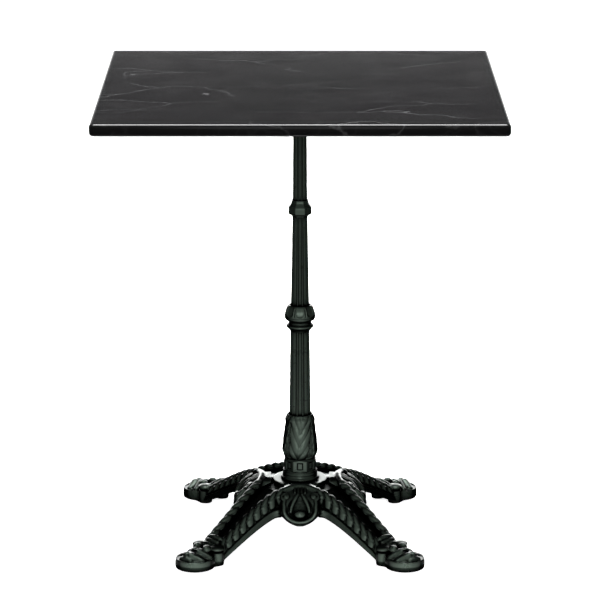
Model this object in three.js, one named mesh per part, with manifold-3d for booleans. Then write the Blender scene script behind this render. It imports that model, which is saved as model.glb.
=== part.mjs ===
// Bistro table: a square stone top on a stacked cast-iron column with a four-legged base.
//
// Units are millimetres. The origin is on the floor under the column's axis, +Z is up and the
// front of the table faces -Y. The four legs run out under the corners of the top.

import * as THREE from 'three';
import Module from 'manifold-3d';

const manifold = await Module();
manifold.setup();

// ---- Driving dimensions ------------------------------------------------------------------

const TABLE_HEIGHT = 708;
const TOP_WIDTH = 600;
const TOP_THICKNESS = 18;
const TOP_EDGE_RADIUS = 5;
const TOP_CORNER_RADIUS = 8;

const GAP = 0.3; // clearance between two pieces that touch on the real table
const SLIVER = 0.02; // detail smaller than this is merged away

const ROD_RADIUS = 5; // M10 tie rod through the whole column
const ROD_BORE = ROD_RADIUS + 0.6;
const SPIGOT_RADIUS = 8.2; // the shafts' turned ends, which centre the castings on each other
const SPIGOT_LENGTH = 5;

const FLUTES = 12;
const FLUTE_DEPTH = 0.09; // share of the shaft's radius

// Heights of the joints in the column, from the floor up.
const DISC_TOP = 88.6; // the base's raised disc, on which the column stands
const COLLAR_TOP = 123;
const COLLAR_FLATS = 49.8; // across the flats of the collar's drum
const COLLAR_NECK_RADIUS = 24.4; // between the collar's round foot and its drum
const SOCKET_TOP = 192.5;
const KNOP_BOTTOM = 325.5;
const KNOP_TOP = 366.5;
const RING_BOTTOM = 506;
const RING_TOP = 531;
const UNDERSIDE = TABLE_HEIGHT - TOP_THICKNESS;

// The shafts taper: radius across the arrises at each end.
const LOWER_SHAFT = { bottom: 17.4, top: 15.2 };
const MIDDLE_SHAFT = { bottom: 14.5, top: 11.7 };
const UPPER_SHAFT = { bottom: 11.3, top: 10.3 };

// Top spider.
const SPIDER_THICKNESS = 6;
const SPIDER_REACH = 126;
const SPIDER_HOLE_REACH = 114;
const SPIDER_ARM_WIDTH = 30;
const BOSS_RADIUS = 19;
const BOSS_DEPTH = 38;
const BOSS_CUP_RADIUS = 14;
const BOSS_CUP_DEPTH = 14;
const BOSS_WEB = 7;

// Hardware.
const TIE_NUT_FLATS = 17;
const TIE_NUT_HEIGHT = 8;
const WASHER_THICKNESS = 2;
const SCREW_RADIUS = 3; // M6
const SCREW_HEAD_RADIUS = 6;
const SCREW_HEAD_HEIGHT = 4;
const SCREW_WASHER_THICKNESS = 1.6;
const INSERT_RADIUS = 5;
const INSERT_LENGTH = 12;
const INSERT_POCKET = 13.5;

// Base casting.
const FOOT = { x: 158.5, y: 173.5, radius: 30, wall: 18, top: 32 };
const KNUCKLE = { radius: 11, wall: 23, top: 29, behind: 27, aside: 16 };
const FOOT_CLEARANCE = 2.5; // the casting stands this far off the floor, on its glides
const HUB_RADIUS = 60;
const HUB_FLOOR = 80.6;
const HUB_PLATE = 6;
const DISC_RADIUS = 42;
const BASE_BOSS_RADIUS = 24; // under the hub, round the tie rod
const ARCH_RADIUS = 58; // nearest approach of each side's rim to the column's axis
const BEAD_RADIUS = 5.5;
const BEAD_OFFSET = 8; // from a leg's centre line to each of its two beads
const RIM_TOP = 104; // the height that the legs' curve levels out to over the hub
const SHOULDER = 80; // middle of the stretch where the legs bend down
const SHOULDER_EASE = 50;
const LEG_FALL = 0.6; // drop of a leg for each millimetre outward, beyond the bend
const APRON_HEIGHT = 41; // at the hub
const APRON_TAPER = 0.147; // height that the aprons lose for each millimetre outward
const APRON_TAPER_START = 45; // from this distance outward
const SKIRT_HEIGHT = 14; // the plain band along the bottom of each apron
const CHANNEL_DEPTH = 14; // below the tops of the beads
const CHANNEL_PLATE = 6;
const CHANNEL_LAP = 2; // the channel's plate runs this far into the aprons
const CHANNEL_SPREAD = 1250; // widens the plate towards the hub, where the aprons part
const PENDANT = { reach: 98.5, tip: 39, top: 92, halfWidth: 30, plate: 10 };
const PENDANT_STEPS = 6;
const APRON_STEPS = 14;
const LEG_STEPS = 6;

// Levelling glides, one under each foot.
const GLIDE_STEM_RADIUS = 4; // M8
const GLIDE_STEM_TOP = 25;
const GLIDE_BALL_RADIUS = 5.2;
const GLIDE_BALL_HEIGHT = 5.8;
const GLIDE_PAD_RADIUS = 13;
const GLIDE_PAD_HEIGHT = 8.4;
const GLIDE_POCKET_RADIUS = 17;
const GLIDE_POCKET_TOP = 12;
const GLIDE_BORE_TOP = 28;

// ---- Materials ---------------------------------------------------------------------------

const material = (color, roughness, metalness) => (
  new THREE.MeshStandardMaterial({ color, roughness, metalness }));

const MARBLE = () => material(0x2a2a2c, 0.12, 0.0);
const CAST_IRON = () => material(0x1b211d, 0.42, 0.5);
const STEEL = () => material(0xb4b6b8, 0.35, 0.95);
const BRASS = () => material(0xb28a3c, 0.4, 0.9);
const NYLON = () => material(0x18191a, 0.6, 0.0);

// ---- Solid tools -------------------------------------------------------------------------

// Turns a closed three.js geometry into a solid that can be cut and joined.
function solid(geometry) {
  const source = geometry.index ? geometry.toNonIndexed() : geometry;
  const places = source.attributes.position;
  const keys = new Map();
  const vertices = [];
  const corners = [];
  for (let i = 0; i < places.count; i += 1) {
    const point = [places.getX(i), places.getY(i), places.getZ(i)];
    const key = point.map((value) => Math.round(value * 1e4)).join(',');
    if (!keys.has(key)) {
      keys.set(key, keys.size);
      vertices.push(...point);
    }
    corners.push(keys.get(key));
  }
  const faces = [];
  for (let i = 0; i < corners.length; i += 3) {
    const [a, b, c] = corners.slice(i, i + 3);
    if (a !== b && b !== c && c !== a) {
      faces.push(a, b, c);
    }
  }
  const mesh = new manifold.Mesh({
    numProp: 3,
    vertProperties: new Float32Array(vertices),
    triVerts: new Uint32Array(faces),
  });
  mesh.merge();
  return new manifold.Manifold(mesh);
}

// Turns a finished solid into one named mesh, without the slivers that cutting leaves.
function piece(name, body, finish) {
  const mesh = body.simplify(SLIVER).getMesh();
  const places = [];
  for (let i = 0; i < mesh.numVert; i += 1) {
    places.push(...mesh.vertProperties.slice(i * mesh.numProp, i * mesh.numProp + 3));
  }
  const geometry = new THREE.BufferGeometry();
  geometry.setAttribute('position', new THREE.Float32BufferAttribute(places, 3));
  geometry.setIndex(Array.from(mesh.triVerts));
  geometry.computeVertexNormals();
  const result = new THREE.Mesh(geometry, finish);
  result.name = name;
  return result;
}

// A cylinder about the Z axis between two heights.
function rod(radius, bottom, top, sides = 24) {
  const shape = new THREE.CylinderGeometry(radius, radius, top - bottom, sides);
  shape.rotateX(Math.PI / 2);
  shape.translate(0, 0, (bottom + top) / 2);
  return solid(shape);
}

// A turned body about the Z axis. The outline is a list of [radius, height] from the axis at
// the bottom to the axis at the top.
function turned(outline, sides = 24) {
  const points = outline.map(([radius, height]) => new THREE.Vector2(radius, height));
  const shape = new THREE.LatheGeometry(points, sides);
  shape.rotateX(Math.PI / 2);
  return solid(shape);
}

// A flat outline in the XY plane, raised between two heights.
function slab(outline, bottom, top) {
  const shape = new THREE.ExtrudeGeometry(outline, {
    depth: top - bottom,
    bevelEnabled: false,
    curveSegments: 4,
  });
  shape.translate(0, 0, bottom);
  return solid(shape);
}

// A hexagon prism with the given distance across its flats.
function hexagon(flats, bottom, top) {
  return rod(flats / Math.sqrt(3), bottom, top, 6);
}

const join = (...bodies) => bodies.reduce((whole, body) => whole.add(body));
const cut = (body, ...tools) => tools.reduce((rest, tool) => rest.subtract(tool), body);

// Points along a round stretch of a turned outline, as [radius, height].
function bulge(from, control, to, steps = 3) {
  const curve = new THREE.QuadraticBezierCurve(
    new THREE.Vector2(...from),
    new THREE.Vector2(...control),
    new THREE.Vector2(...to),
  );
  return curve.getPoints(steps).map((point) => [point.x, point.y]);
}

// ---- Table top and its fixing ------------------------------------------------------------

// The four places under the top where the spider is screwed on, on the corner diagonals.
const QUARTER_TURNS = [45, 135, 225, 315];
const QUARTER_NAMES = ['back_right', 'back_left', 'front_left', 'front_right'];

function onDiagonal(reach, degrees) {
  const angle = THREE.MathUtils.degToRad(degrees);
  return [reach * Math.cos(angle), reach * Math.sin(angle), 0];
}

function roundedSquare(width, radius) {
  const half = width / 2;
  const corner = half - radius;
  const outline = new THREE.Shape();
  outline.moveTo(-corner, -half);
  outline.absarc(corner, -corner, radius, -Math.PI / 2, 0);
  outline.absarc(corner, corner, radius, 0, Math.PI / 2);
  outline.absarc(-corner, corner, radius, Math.PI / 2, Math.PI);
  outline.absarc(-corner, -corner, radius, Math.PI, 1.5 * Math.PI);
  outline.closePath();
  return outline;
}

function tableTop() {
  const shape = new THREE.ExtrudeGeometry(
    roundedSquare(TOP_WIDTH - 2 * TOP_EDGE_RADIUS, TOP_CORNER_RADIUS - TOP_EDGE_RADIUS),
    {
      depth: TOP_THICKNESS - 2 * TOP_EDGE_RADIUS,
      bevelThickness: TOP_EDGE_RADIUS,
      bevelSize: TOP_EDGE_RADIUS,
      bevelSegments: 3,
      curveSegments: 2,
    },
  );
  shape.translate(0, 0, UNDERSIDE + TOP_EDGE_RADIUS);
  const pockets = QUARTER_TURNS.map((degrees) => (
    rod(INSERT_RADIUS + GAP, UNDERSIDE - 1, UNDERSIDE + INSERT_POCKET, 16)
      .translate(onDiagonal(SPIDER_HOLE_REACH, degrees))));
  return piece('table_top', cut(solid(shape), ...pockets), MARBLE());
}

function topInsert(name, degrees) {
  const bottom = UNDERSIDE + GAP;
  const body = cut(
    rod(INSERT_RADIUS, bottom, bottom + INSERT_LENGTH, 16),
    rod(SCREW_RADIUS + GAP, bottom - 1, bottom + INSERT_LENGTH + 1, 12),
  );
  return piece(`${name}_top_insert`, body.translate(onDiagonal(SPIDER_HOLE_REACH, degrees)), BRASS());
}

const SPIDER_TOP = UNDERSIDE - GAP;
const SPIDER_BOTTOM = SPIDER_TOP - SPIDER_THICKNESS;

function spiderArm(degrees) {
  const half = SPIDER_ARM_WIDTH / 2;
  const outline = new THREE.Shape();
  outline.moveTo(0, -half);
  outline.lineTo(SPIDER_REACH - half, -half * 0.8);
  outline.absarc(SPIDER_REACH - half, 0, half * 0.8, -Math.PI / 2, Math.PI / 2);
  outline.lineTo(0, half);
  outline.closePath();
  const arm = cut(
    slab(outline, SPIDER_BOTTOM, SPIDER_TOP),
    rod(SCREW_RADIUS + 2 * GAP, SPIDER_BOTTOM - 1, SPIDER_TOP + 1, 12)
      .translate([SPIDER_HOLE_REACH, 0, 0]),
  );
  return arm.rotate([0, 0, degrees]);
}

const CUP_FLOOR = SPIDER_TOP - BOSS_CUP_DEPTH;

function topSpider() {
  const arms = QUARTER_TURNS.map(spiderArm);
  const boss = rod(BOSS_RADIUS, SPIDER_TOP - BOSS_DEPTH, SPIDER_TOP);
  const body = cut(
    join(boss, ...arms),
    rod(BOSS_CUP_RADIUS, CUP_FLOOR, SPIDER_TOP + 1),
    rod(ROD_BORE, CUP_FLOOR - BOSS_WEB - 1, SPIDER_TOP),
    rod(UPPER_SHAFT.top + GAP, SPIDER_TOP - BOSS_DEPTH - 1, CUP_FLOOR - BOSS_WEB),
  );
  return piece('top_spider', body, CAST_IRON());
}

function spiderScrew(name, degrees) {
  const headTop = SPIDER_BOTTOM - 2 * GAP - SCREW_WASHER_THICKNESS;
  const headBottom = headTop - SCREW_HEAD_HEIGHT;
  const body = cut(
    join(
      turned([
        [0, headBottom],
        ...bulge(
          [SCREW_HEAD_RADIUS * 0.6, headBottom],
          [SCREW_HEAD_RADIUS, headBottom],
          [SCREW_HEAD_RADIUS, headTop],
        ),
        [0, headTop],
      ], 16),
      rod(SCREW_RADIUS, headTop - 1, UNDERSIDE + INSERT_LENGTH - 2, 12),
    ),
    hexagon(SCREW_RADIUS, headBottom - 1, headBottom + SCREW_HEAD_HEIGHT / 2),
  );
  return piece(`${name}_spider_screw`, body.translate(onDiagonal(SPIDER_HOLE_REACH, degrees)), STEEL());
}

function spiderWasher(name, degrees) {
  const top = SPIDER_BOTTOM - GAP;
  const body = cut(
    rod(SCREW_HEAD_RADIUS + 0.5, top - SCREW_WASHER_THICKNESS, top, 16),
    rod(SCREW_RADIUS + GAP, top - 5, top + 1, 12),
  );
  return piece(`${name}_spider_washer`, body.translate(onDiagonal(SPIDER_HOLE_REACH, degrees)), STEEL());
}

// ---- Column ------------------------------------------------------------------------------

// One fluted length of the column. Its radius runs evenly between its two ends.
function flutedLength(bottom, top, radii) {
  const outline = new THREE.Shape();
  const samples = FLUTES * 2;
  for (let i = 0; i < samples; i += 1) {
    const angle = (2 * Math.PI * i) / samples;
    const depth = FLUTE_DEPTH * Math.abs(Math.cos((FLUTES / 2) * (angle + Math.PI / 2)));
    const radius = 1 - depth;
    const place = [radius * Math.cos(angle), radius * Math.sin(angle)];
    if (i === 0) {
      outline.moveTo(...place);
    } else {
      outline.lineTo(...place);
    }
  }
  outline.closePath();
  const shape = new THREE.ExtrudeGeometry(outline, { depth: 1, bevelEnabled: false });
  const places = shape.attributes.position;
  for (let i = 0; i < places.count; i += 1) {
    const share = places.getZ(i);
    const radius = radii.bottom + (radii.top - radii.bottom) * share;
    places.setXYZ(
      i,
      places.getX(i) * radius,
      places.getY(i) * radius,
      bottom + (top - bottom) * share,
    );
  }
  return solid(shape);
}

const rodBore = () => rod(ROD_BORE, 0, TABLE_HEIGHT, 16);

// The blind recess that a shaft's spigot drops into, on either end of a casting.
function recess(bottom, top) {
  return rod(SPIGOT_RADIUS + GAP, bottom, top);
}

const SPIGOT_ROOM = SPIGOT_LENGTH + GAP;
const SOCKET_CUP = 8; // the lower shaft stands this deep inside the leaf socket's rim
const KNOP_CUP = 2.5;

function upperShaft() {
  const bottom = RING_TOP + GAP;
  const top = CUP_FLOOR - BOSS_WEB - GAP;
  const body = join(
    flutedLength(bottom, top, UPPER_SHAFT),
    rod(SPIGOT_RADIUS, bottom - SPIGOT_LENGTH, bottom + 1),
  );
  return piece('upper_shaft', cut(body, rodBore()), CAST_IRON());
}

function middleShaft() {
  const bottom = KNOP_TOP - KNOP_CUP + GAP;
  const top = RING_BOTTOM - GAP;
  const body = join(
    flutedLength(bottom, top, MIDDLE_SHAFT),
    rod(SPIGOT_RADIUS, bottom - SPIGOT_LENGTH, top + SPIGOT_LENGTH),
  );
  return piece('middle_shaft', cut(body, rodBore()), CAST_IRON());
}

function lowerShaft() {
  const bottom = SOCKET_TOP - SOCKET_CUP + GAP;
  const top = KNOP_BOTTOM - GAP;
  const body = join(
    flutedLength(bottom, top, LOWER_SHAFT),
    rod(SPIGOT_RADIUS, bottom - SPIGOT_LENGTH, top + SPIGOT_LENGTH),
  );
  return piece('lower_shaft', cut(body, rodBore()), CAST_IRON());
}

// The octagonal ring between the upper and middle shafts, with one flat facing the front.
function neckRing() {
  const flats = 35;
  const corner = flats / 2 / Math.cos(Math.PI / 8);
  const flatBottom = RING_BOTTOM + 3;
  const flatTop = RING_BOTTOM + 15.5;
  const outline = [
    [0, RING_BOTTOM],
    [12.4, RING_BOTTOM],
    [corner - 1, flatBottom],
    [corner, flatBottom + 1.5],
    [corner, flatTop],
    [corner - 1, flatTop + 1.5],
    [12.8, RING_TOP - 1.5],
    [12.8, RING_TOP],
    [0, RING_TOP],
  ];
  const body = cut(
    turned(outline, 8).rotate([0, 0, 22.5]),
    rodBore(),
    recess(RING_BOTTOM - 1, RING_BOTTOM + SPIGOT_ROOM),
    recess(RING_TOP - SPIGOT_ROOM, RING_TOP + 1),
  );
  return piece('neck_ring', body, CAST_IRON());
}

// The round knop between the middle and lower shafts.
function knop() {
  const outline = [
    [0, KNOP_BOTTOM],
    [15.6, KNOP_BOTTOM],
    [18.7, KNOP_BOTTOM + 4.2],
    [21.2, KNOP_BOTTOM + 7],
    [21.2, KNOP_BOTTOM + 9.4],
    [17.4, KNOP_BOTTOM + 12],
    [17.4, KNOP_BOTTOM + 15],
    ...bulge([20.6, KNOP_BOTTOM + 17], [23.6, KNOP_BOTTOM + 19], [24, KNOP_BOTTOM + 23]),
    ...bulge([23.8, KNOP_BOTTOM + 26], [22.8, KNOP_BOTTOM + 35], [17.6, KNOP_TOP - 2]),
    [17.2, KNOP_TOP],
    [0, KNOP_TOP],
  ];
  const cupFloor = KNOP_TOP - KNOP_CUP;
  const body = cut(
    turned(outline),
    rodBore(),
    rod(MIDDLE_SHAFT.bottom + 0.8, cupFloor, KNOP_TOP + 1),
    recess(KNOP_BOTTOM - 1, KNOP_BOTTOM + SPIGOT_ROOM),
    recess(cupFloor - SPIGOT_ROOM, cupFloor + 1),
  );
  return piece('knop', body, CAST_IRON());
}

const SOCKET_BOTTOM = COLLAR_TOP + GAP;
const REGISTER_RADIUS = 14; // the socket's and collar's larger turned ends

// The vase-shaped leaf socket that the lower shaft stands in.
function leafSocket() {
  const outline = [
    [0, SOCKET_BOTTOM - SPIGOT_LENGTH],
    [REGISTER_RADIUS, SOCKET_BOTTOM - SPIGOT_LENGTH],
    [REGISTER_RADIUS, SOCKET_BOTTOM],
    [23.4, SOCKET_BOTTOM],
    ...bulge([25, SOCKET_BOTTOM + 3.6], [27.2, SOCKET_BOTTOM + 9], [26.8, SOCKET_BOTTOM + 17], 4),
    ...bulge([26, SOCKET_BOTTOM + 24], [24.4, SOCKET_BOTTOM + 34], [23.4, SOCKET_BOTTOM + 46], 3),
    [21.9, SOCKET_BOTTOM + 53],
    [21.9, SOCKET_BOTTOM + 61],
    [20.6, SOCKET_BOTTOM + 66],
    [19.2, SOCKET_TOP],
    [0, SOCKET_TOP],
  ];
  const cupFloor = SOCKET_TOP - SOCKET_CUP;
  const body = cut(
    turned(outline),
    rodBore(),
    rod(LOWER_SHAFT.bottom + 0.6, cupFloor, SOCKET_TOP + 1),
    recess(cupFloor - SPIGOT_ROOM, cupFloor + 1),
  );
  return piece('leaf_socket', body, CAST_IRON());
}

// The eight-sided drum and round foot that carry the column on the base. One flat of the drum
// faces the front.
function footCollar() {
  const bottom = DISC_TOP + GAP;
  const drumBottom = bottom + 15;
  const corner = COLLAR_FLATS / 2 / Math.cos(Math.PI / 8);
  const foot = turned([
    [0, bottom - SPIGOT_LENGTH],
    [REGISTER_RADIUS, bottom - SPIGOT_LENGTH],
    [REGISTER_RADIUS, bottom],
    [28.4, bottom],
    ...bulge([29, bottom + 1], [29.4, bottom + 3.5], [27.4, bottom + 6]),
    [26.2, bottom + 8.5],
    [25.8, bottom + 10],
    [26, bottom + 12.5],
    [25.2, bottom + 14],
    [COLLAR_NECK_RADIUS, drumBottom],
    [0, drumBottom],
  ]);
  const drum = turned([
    [0, drumBottom - 1],
    [COLLAR_NECK_RADIUS, drumBottom - 1],
    [corner, drumBottom + 0.5],
    [corner, COLLAR_TOP - 2],
    [corner - 2, COLLAR_TOP],
    [0, COLLAR_TOP],
  ], 8).rotate([0, 0, 22.5]);
  const body = cut(
    join(foot, drum),
    rodBore(),
    rod(REGISTER_RADIUS + GAP, COLLAR_TOP - SPIGOT_ROOM, COLLAR_TOP + 1),
  );
  return piece('foot_collar', body, CAST_IRON());
}

// ---- Tie rod -----------------------------------------------------------------------------

const BOSS_BOTTOM = HUB_FLOOR - 16; // underside of the base's central boss
const TOP_WASHER_TOP = CUP_FLOOR + GAP + WASHER_THICKNESS;
const TOP_NUT_BOTTOM = TOP_WASHER_TOP + GAP;
const LOWER_WASHER_BOTTOM = BOSS_BOTTOM - GAP - WASHER_THICKNESS;
const LOWER_NUT_TOP = LOWER_WASHER_BOTTOM - GAP;

function tieRod() {
  const bottom = LOWER_NUT_TOP - TIE_NUT_HEIGHT - 4;
  const top = TOP_NUT_BOTTOM + TIE_NUT_HEIGHT + 1;
  return piece('tie_rod', rod(ROD_RADIUS, bottom, top, 24), STEEL());
}

function tieNut(name, bottom) {
  const top = bottom + TIE_NUT_HEIGHT;
  const body = cut(hexagon(TIE_NUT_FLATS, bottom, top), rod(ROD_RADIUS + GAP, bottom - 1, top + 1, 24));
  return piece(name, body, STEEL());
}

function tieWasher(name, bottom, radius) {
  const top = bottom + WASHER_THICKNESS;
  const body = cut(rod(radius, bottom, top), rod(ROD_RADIUS + GAP, bottom - 1, top + 1, 24));
  return piece(name, body, STEEL());
}

// ---- Base casting ------------------------------------------------------------------------

const FOOT_REACH = Math.hypot(FOOT.x, FOOT.y);
const LEG_END = FOOT_REACH - 20; // where the aprons and the channel run into the foot

// Height of the beads' tops, by distance outward along a leg.
function rimHeight(along) {
  const past = along - SHOULDER;
  return RIM_TOP - LEG_FALL * (past + Math.hypot(SHOULDER_EASE, past)) / 2;
}

// The outline of an apron across its run: outward, then height below the bead's top.
function apronSection() {
  const outline = new THREE.Shape();
  outline.moveTo(-BEAD_RADIUS, -BEAD_RADIUS);
  outline.lineTo(-1, -BEAD_RADIUS - 6);
  outline.lineTo(6, -APRON_HEIGHT);
  outline.lineTo(13, -APRON_HEIGHT);
  outline.lineTo(11, -APRON_HEIGHT + SKIRT_HEIGHT);
  outline.lineTo(9, -APRON_HEIGHT + SKIRT_HEIGHT + 1);
  outline.lineTo(10.5, -APRON_HEIGHT + SKIRT_HEIGHT + 3);
  outline.lineTo(8, -9);
  outline.absarc(0, -BEAD_RADIUS, BEAD_RADIUS, -0.2, Math.PI);
  outline.closePath();
  return outline;
}

// One side of the base: an apron that runs in from one foot, arches past the column and runs
// out to the next foot. `quarter` 0 is the front, then on round the base.
function apron(quarter) {
  const [legAcross, legOut] = quarter % 2 === 0 ? [FOOT.x, FOOT.y] : [FOOT.y, FOOT.x];
  const slope = legOut / legAcross;
  const spread = BEAD_OFFSET * Math.hypot(1, slope);
  const nose = ARCH_RADIUS - spread;
  const reach = legAcross * (LEG_END / FOOT_REACH);
  const shape = new THREE.ExtrudeGeometry(apronSection(), {
    depth: 1,
    steps: APRON_STEPS,
    bevelEnabled: false,
    curveSegments: 2,
  });
  const places = shape.attributes.position;
  for (let i = 0; i < places.count; i += 1) {
    const across = reach * (1 - 2 * places.getZ(i));
    const bow = Math.hypot(nose, slope * across);
    const tilt = (slope * slope * across) / bow;
    const length = Math.hypot(1, tilt);
    const offset = places.getX(i);
    const along = (Math.abs(across) * legAcross + (spread + bow) * legOut) / FOOT_REACH;
    const taper = 1 - (APRON_TAPER * Math.max(0, along - APRON_TAPER_START)) / APRON_HEIGHT;
    const below = places.getY(i) + BEAD_RADIUS;
    places.setXYZ(
      i,
      across - (offset * tilt) / length,
      -(spread + bow + offset / length),
      rimHeight(along) - BEAD_RADIUS + (below < 0 ? below * taper : below),
    );
  }
  return solid(shape).rotate([0, 0, quarter * 90]);
}

// The aprons part towards the hub, and the channel's plate widens to stay joined to both.
function channelHalfWidth(along) {
  return BEAD_OFFSET + CHANNEL_LAP + CHANNEL_SPREAD / along;
}

// The sunken plate between a leg's two beads.
function channel(sideX, sideY) {
  const outline = new THREE.Shape();
  outline.moveTo(-1, -CHANNEL_DEPTH - CHANNEL_PLATE);
  outline.lineTo(1, -CHANNEL_DEPTH - CHANNEL_PLATE);
  outline.lineTo(1, -CHANNEL_DEPTH);
  outline.lineTo(-1, -CHANNEL_DEPTH);
  outline.closePath();
  const shape = new THREE.ExtrudeGeometry(outline, { depth: 1, steps: LEG_STEPS, bevelEnabled: false });
  const places = shape.attributes.position;
  const start = DISC_RADIUS - 4;
  for (let i = 0; i < places.count; i += 1) {
    const along = start + (LEG_END - start) * places.getZ(i);
    places.setXYZ(i, along, places.getX(i) * channelHalfWidth(along), rimHeight(along) + places.getY(i));
  }
  const heading = THREE.MathUtils.radToDeg(Math.atan2(sideY * FOOT.y, sideX * FOOT.x));
  return solid(shape).rotate([0, 0, heading]);
}

// A foot: a round toe pad with a domed top, and a knuckle on each side behind it.
function foot(sideX, sideY) {
  const pad = turned([
    [0, FOOT_CLEARANCE],
    [FOOT.radius - 1.5, FOOT_CLEARANCE],
    [FOOT.radius, FOOT_CLEARANCE + 2],
    [FOOT.radius, FOOT.wall - 2],
    [FOOT.radius - 2, FOOT.wall],
    ...bulge([FOOT.radius - 4, FOOT.wall], [FOOT.radius - 12, FOOT.top], [0, FOOT.top], 3),
  ], 20);
  const knuckles = [-1, 1].map((side) => (
    turned([
      [0, FOOT_CLEARANCE],
      [KNUCKLE.radius - 1, FOOT_CLEARANCE],
      [KNUCKLE.radius, FOOT_CLEARANCE + 2],
      [KNUCKLE.radius, KNUCKLE.wall],
      ...bulge([KNUCKLE.radius - 0.5, KNUCKLE.wall + 1], [9, KNUCKLE.top], [0, KNUCKLE.top], 2),
    ], 10).translate([-KNUCKLE.behind, side * KNUCKLE.aside, 0])));
  const heading = THREE.MathUtils.radToDeg(Math.atan2(sideY * FOOT.y, sideX * FOOT.x));
  return join(pad, ...knuckles)
    .rotate([0, 0, heading])
    .translate([sideX * FOOT.x, sideY * FOOT.y, 0]);
}

// How a pendant's face runs from its tip up to the apron's rim, in a plane through the column's
// axis: reach outward, then height.
function pendantFace() {
  const curve = new THREE.CubicBezierCurve(
    new THREE.Vector2(PENDANT.reach, PENDANT.tip),
    new THREE.Vector2(PENDANT.reach + 8, PENDANT.tip + 21),
    new THREE.Vector2(PENDANT.reach - 8, PENDANT.top - 14),
    new THREE.Vector2(ARCH_RADIUS + 2, PENDANT.top),
  );
  return curve.getPoints(PENDANT_STEPS);
}

// The shield-shaped pendant that bulges out in the middle of each apron: a curved plate, trimmed
// to the shield's outline.
function pendant(quarter) {
  const front = pendantFace();
  const back = front.map((point) => new THREE.Vector2(point.x - PENDANT.plate, point.y - PENDANT.plate));
  const plate = slab(new THREE.Shape([...front, ...back.reverse()]), -PENDANT.halfWidth, PENDANT.halfWidth)
    .rotate([90, 0, 0])
    .rotate([0, 0, -90]);
  const side = PENDANT.halfWidth;
  const cheek = PENDANT.tip + 15; // where the sides start to close in on the tip
  const brow = PENDANT.tip + 37; // where they start to close in on the top
  const top = PENDANT.top + 1;
  const outline = new THREE.Shape();
  outline.moveTo(0, PENDANT.tip);
  outline.quadraticCurveTo(side * 0.6, PENDANT.tip + 1, side * 0.9, cheek);
  outline.quadraticCurveTo(side * 1.03, cheek + 6, side, brow);
  outline.quadraticCurveTo(side, top - 3, side * 0.5, top);
  outline.lineTo(-side * 0.5, top);
  outline.quadraticCurveTo(-side, top - 3, -side, brow);
  outline.quadraticCurveTo(-side * 1.03, cheek + 6, -side * 0.9, cheek);
  outline.quadraticCurveTo(-side * 0.6, PENDANT.tip + 1, 0, PENDANT.tip);
  const shield = slab(outline, ARCH_RADIUS + 2, PENDANT.reach * 2).rotate([90, 0, 0]);
  return plate.intersect(shield).rotate([0, 0, quarter * 90]);
}

const CORNERS = [[1, 1], [-1, 1], [-1, -1], [1, -1]];
const QUARTERS = [0, 1, 2, 3];

function glideSpace(sideX, sideY) {
  return join(
    rod(GLIDE_POCKET_RADIUS, 0, GLIDE_POCKET_TOP, 16),
    rod(GLIDE_STEM_RADIUS + GAP, 0, GLIDE_BORE_TOP, 12),
  ).translate([sideX * FOOT.x, sideY * FOOT.y, 0]);
}

function baseCasting() {
  const hub = join(
    rod(HUB_RADIUS, HUB_FLOOR - HUB_PLATE, HUB_FLOOR, 24),
    rod(DISC_RADIUS, HUB_FLOOR - HUB_PLATE, DISC_TOP, 24),
    rod(BASE_BOSS_RADIUS, BOSS_BOTTOM, HUB_FLOOR),
  );
  const body = join(
    hub,
    ...QUARTERS.map(apron),
    ...QUARTERS.map(pendant),
    ...CORNERS.map(([x, y]) => channel(x, y)),
    ...CORNERS.map(([x, y]) => foot(x, y)),
  );
  const floorCut = new THREE.BoxGeometry(TOP_WIDTH, TOP_WIDTH, 100);
  floorCut.translate(0, 0, FOOT_CLEARANCE - 50);
  const finished = cut(
    body,
    solid(floorCut),
    rodBore(),
    rod(REGISTER_RADIUS + GAP, DISC_TOP - SPIGOT_ROOM, DISC_TOP + 1),
    ...CORNERS.map(([x, y]) => glideSpace(x, y)),
  );
  return piece('base_casting', finished, CAST_IRON());
}

// ---- Levelling glides --------------------------------------------------------------------

// The stem screws up into the foot; its ball end turns in the pad, which stays on the floor.
function glideStem(name, sideX, sideY) {
  const ball = new THREE.SphereGeometry(GLIDE_BALL_RADIUS, 12, 6);
  ball.rotateX(Math.PI / 2);
  ball.translate(0, 0, GLIDE_BALL_HEIGHT);
  const body = cut(
    join(solid(ball), rod(GLIDE_STEM_RADIUS, GLIDE_BALL_HEIGHT, GLIDE_STEM_TOP, 12)),
    hexagon(4, GLIDE_STEM_TOP - 3, GLIDE_STEM_TOP + 1),
  );
  return piece(`${name}_glide_stem`, body.translate([sideX * FOOT.x, sideY * FOOT.y, 0]), STEEL());
}

function glidePad(name, sideX, sideY) {
  const cavity = new THREE.SphereGeometry(GLIDE_BALL_RADIUS + GAP, 12, 6);
  cavity.rotateX(Math.PI / 2);
  cavity.translate(0, 0, GLIDE_BALL_HEIGHT);
  const body = cut(
    turned([
      [0, 0],
      [GLIDE_PAD_RADIUS - 1.5, 0],
      [GLIDE_PAD_RADIUS, 1.5],
      [GLIDE_PAD_RADIUS, 4],
      [8, GLIDE_PAD_HEIGHT],
      [0, GLIDE_PAD_HEIGHT],
    ], 16),
    solid(cavity),
  );
  return piece(`${name}_glide_pad`, body.translate([sideX * FOOT.x, sideY * FOOT.y, 0]), NYLON());
}

// ---- Assembly ----------------------------------------------------------------------------

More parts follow.
